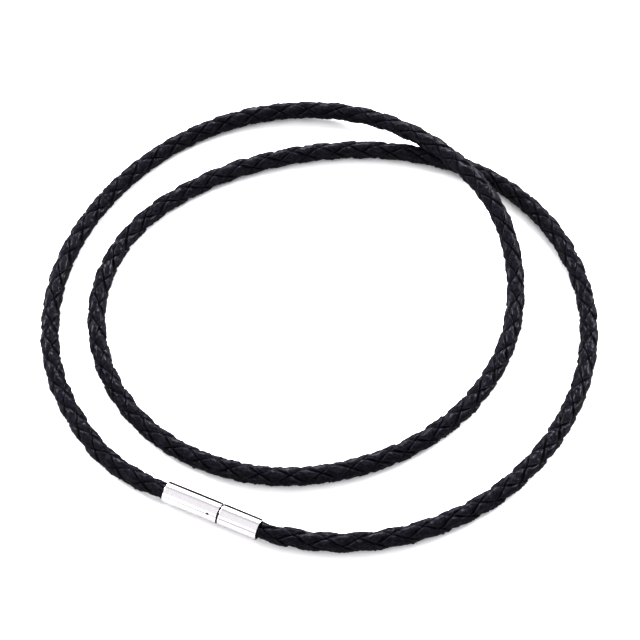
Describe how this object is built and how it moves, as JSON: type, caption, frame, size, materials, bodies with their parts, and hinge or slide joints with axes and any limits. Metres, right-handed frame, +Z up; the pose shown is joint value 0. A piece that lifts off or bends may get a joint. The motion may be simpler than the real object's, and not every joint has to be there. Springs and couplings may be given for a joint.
{
  "type": "braided leather cord necklace with bayonet clasp",
  "caption": "Round braided leather cord necklace closed by a slim steel bayonet clasp, lying in two overlapping turns; worn round the neck or carrying a pendant.",
  "frame": {"origin": "on the surface that the necklace lies on, under the middle of its overall box", "axes": "+Z up out of the surface, +Y away from the side where the clasp lies, +X to the right seen from the clasp's side"},
  "size_m": [0.1058, 0.1036, 0.0073],
  "materials": {
    "leather": "smooth black dyed lace, soft sheen",
    "steel": "polished stainless steel"
  },
  "bodies": {
    "root": {"braid_strand_1": "leather", "braid_strand_2": "leather", "braid_strand_3": "leather", "braid_strand_4": "leather", "braid_strand_5": "leather", "braid_strand_6": "leather", "clasp_barrel": "steel", "clasp_cap": "steel", "lock_pin": "steel"}
  },
  "joints": []
}
